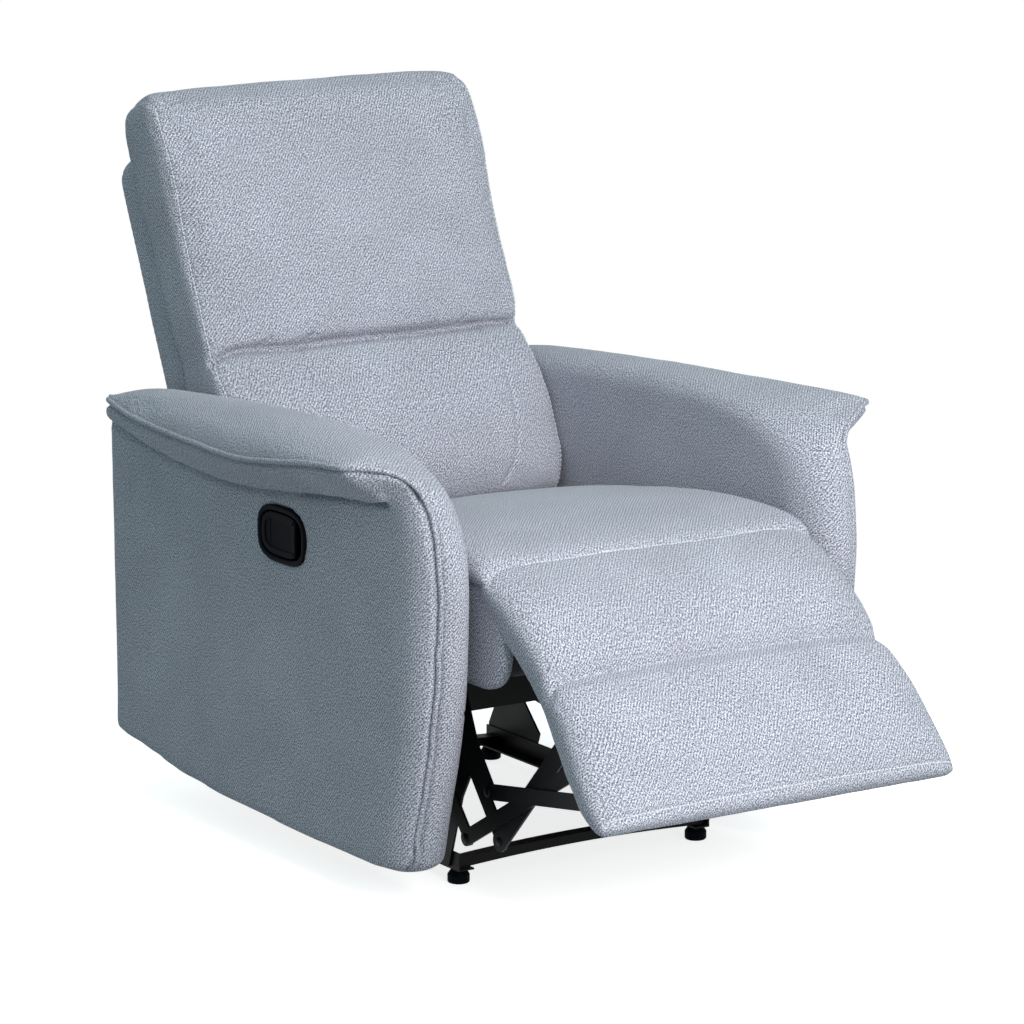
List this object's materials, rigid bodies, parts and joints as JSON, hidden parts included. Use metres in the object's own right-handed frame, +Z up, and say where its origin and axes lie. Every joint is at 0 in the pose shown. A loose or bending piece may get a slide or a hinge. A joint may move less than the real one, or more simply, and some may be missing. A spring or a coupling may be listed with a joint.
{
  "type": "recliner armchair",
  "caption": "Upholstered recliner with flared padded arms, a reclining two-section back, a linkage footrest, a flush side release lever and a steel base on glides.",
  "frame": {"origin": "on the floor, under the centre of the overall box in plan, in the stored pose", "axes": "+Z up, -Y the way the sitter faces, +X to the sitter's left"},
  "size_m": [0.8758, 1.3131, 1.0088],
  "materials": {
    "blue_grey_fabric": "heathered twill",
    "webbing": "woven strap",
    "frame_wood": "raw plywood",
    "black_steel": "semi-gloss powder coat",
    "steel_pin": "plated",
    "black_plastic": "satin moulded"
  },
  "bodies": {
    "chair_base": {"base_rail_left": "black_steel", "glide_front_left": "black_plastic", "glide_rear_left": "black_plastic", "side_plate_left": "black_steel", "rear_plate_left": "black_steel", "seat_side_left": "blue_grey_fabric", "arm_core_left": "frame_wood", "arm_outer_pad_left": "blue_grey_fabric", "arm_inner_pad_left": "blue_grey_fabric", "arm_front_pad_left": "blue_grey_fabric", "arm_top_pad_left": "blue_grey_fabric", "base_rail_right": "black_steel", "glide_front_right": "black_plastic", "glide_rear_right": "black_plastic", "side_plate_right": "black_steel", "rear_plate_right": "black_steel", "seat_side_right": "blue_grey_fabric", "arm_core_right": "frame_wood", "arm_outer_pad_right": "blue_grey_fabric", "arm_inner_pad_right": "blue_grey_fabric", "arm_front_pad_right": "blue_grey_fabric", "arm_top_pad_right": "blue_grey_fabric", "cross_rail_front": "black_steel", "cross_rail_rear": "black_steel", "linkage_rail": "black_steel", "seat_rail_front": "frame_wood", "seat_rail_rear": "frame_wood", "seat_webbing": "webbing", "seat_cushion": "blue_grey_fabric", "chaise_gusset": "blue_grey_fabric", "rear_panel": "blue_grey_fabric", "lever_housing": "black_plastic", "lever_pin": "steel_pin"},
    "footrest": {"footrest_pad_upper": "blue_grey_fabric", "footrest_pad_lower": "blue_grey_fabric", "footrest_board": "frame_wood", "footrest_bracket_left": "black_steel", "footrest_bracket_right": "black_steel"},
    "backrest": {"back_post_left": "frame_wood", "back_post_right": "frame_wood", "back_rail_top": "frame_wood", "back_rail_lower": "frame_wood", "back_shell": "blue_grey_fabric", "back_cushion_head": "blue_grey_fabric", "back_cushion_lumbar": "blue_grey_fabric"},
    "paddle": {"lever_paddle": "black_plastic"},
    "link_drive_left": {"link_drive_left": "black_steel"},
    "link_lift_left": {"link_lift_left": "black_steel"},
    "link_guide_left": {"link_guide_left": "black_steel"},
    "link_reach_left": {"link_reach_left": "black_steel"},
    "link_swing_left": {"link_swing_left": "black_steel"},
    "link_push_left": {"link_push_left": "black_steel"},
    "link_drive_right": {"link_drive_right": "black_steel"},
    "link_lift_right": {"link_lift_right": "black_steel"},
    "link_guide_right": {"link_guide_right": "black_steel"},
    "link_reach_right": {"link_reach_right": "black_steel"},
    "link_swing_right": {"link_swing_right": "black_steel"},
    "link_push_right": {"link_push_right": "black_steel"}
  },
  "joints": [
    {"name": "footrest_hinge", "type": "hinge", "parent": "chair_base", "child": "footrest", "pos_m": [0, -0.3966, 0.391], "axis": [-1, 0, 0], "range_deg": [-38, 35], "deforming": ["chaise_gusset"]},
    {"name": "back_recline", "type": "hinge", "parent": "chair_base", "child": "backrest", "pos_m": [0, 0.3786, 0.3721], "axis": [-1, 0, 0], "range_deg": [-10, 30]},
    {"name": "paddle_pull", "type": "hinge", "parent": "chair_base", "child": "paddle", "pos_m": [-0.363, 0.0414, 0.474], "axis": [0, 0, -1], "range_deg": [0, 28], "stiffness_Nm_per_rad": 0.12},
    {"name": "link_drive_pivot_left", "type": "hinge", "parent": "chair_base", "child": "link_drive_left", "pos_m": [0.215, -0.2226, 0.204], "axis": [-1, 0, 0], "range_deg": [-38.5, 35.5]},
    {"name": "link_lift_pivot_left", "type": "hinge", "parent": "link_drive_left", "child": "link_lift_left", "pos_m": [0.215, -0.3126, 0.093], "axis": [-1, 0, 0], "range_deg": [-35.5, 38.5]},
    {"name": "link_guide_pivot_left", "type": "hinge", "parent": "chair_base", "child": "link_guide_left", "pos_m": [0.215, -0.1116, 0.225], "axis": [-1, 0, 0], "range_deg": [-38.5, 35.5]},
    {"name": "link_reach_pivot_left", "type": "hinge", "parent": "link_guide_left", "child": "link_reach_left", "pos_m": [0.215, -0.2356, 0.08], "axis": [-1, 0, 0], "range_deg": [-35.5, 38.5]},
    {"name": "link_swing_pivot_left", "type": "hinge", "parent": "chair_base", "child": "link_swing_left", "pos_m": [0.215, -0.1466, 0.351], "axis": [-1, 0, 0], "range_deg": [-38.5, 35.5]},
    {"name": "link_push_pivot_left", "type": "hinge", "parent": "link_swing_left", "child": "link_push_left", "pos_m": [0.215, -0.2966, 0.16], "axis": [-1, 0, 0], "range_deg": [-35.5, 38.5]},
    {"name": "link_drive_pivot_right", "type": "hinge", "parent": "chair_base", "child": "link_drive_right", "pos_m": [-0.215, -0.2226, 0.204], "axis": [-1, 0, 0], "range_deg": [-38.5, 35.5]},
    {"name": "link_lift_pivot_right", "type": "hinge", "parent": "link_drive_right", "child": "link_lift_right", "pos_m": [-0.215, -0.3126, 0.093], "axis": [-1, 0, 0], "range_deg": [-35.5, 38.5]},
    {"name": "link_guide_pivot_right", "type": "hinge", "parent": "chair_base", "child": "link_guide_right", "pos_m": [-0.215, -0.1116, 0.225], "axis": [-1, 0, 0], "range_deg": [-38.5, 35.5]},
    {"name": "link_reach_pivot_right", "type": "hinge", "parent": "link_guide_right", "child": "link_reach_right", "pos_m": [-0.215, -0.2356, 0.08], "axis": [-1, 0, 0], "range_deg": [-35.5, 38.5]},
    {"name": "link_swing_pivot_right", "type": "hinge", "parent": "chair_base", "child": "link_swing_right", "pos_m": [-0.215, -0.1466, 0.351], "axis": [-1, 0, 0], "range_deg": [-38.5, 35.5]},
    {"name": "link_push_pivot_right", "type": "hinge", "parent": "link_swing_right", "child": "link_push_right", "pos_m": [-0.215, -0.2966, 0.16], "axis": [-1, 0, 0], "range_deg": [-35.5, 38.5]}
  ],
  "couplings": [
    {"joint": "link_drive_pivot_left", "follows": "footrest_hinge", "ratio": 1},
    {"joint": "link_lift_pivot_left", "follows": "footrest_hinge", "ratio": -1},
    {"joint": "link_guide_pivot_left", "follows": "footrest_hinge", "ratio": 1},
    {"joint": "link_reach_pivot_left", "follows": "footrest_hinge", "ratio": -1},
    {"joint": "link_swing_pivot_left", "follows": "footrest_hinge", "ratio": 1},
    {"joint": "link_push_pivot_left", "follows": "footrest_hinge", "ratio": -1},
    {"joint": "link_drive_pivot_right", "follows": "footrest_hinge", "ratio": 1},
    {"joint": "link_lift_pivot_right", "follows": "footrest_hinge", "ratio": -1},
    {"joint": "link_guide_pivot_right", "follows": "footrest_hinge", "ratio": 1},
    {"joint": "link_reach_pivot_right", "follows": "footrest_hinge", "ratio": -1},
    {"joint": "link_swing_pivot_right", "follows": "footrest_hinge", "ratio": 1},
    {"joint": "link_push_pivot_right", "follows": "footrest_hinge", "ratio": -1}
  ]
}
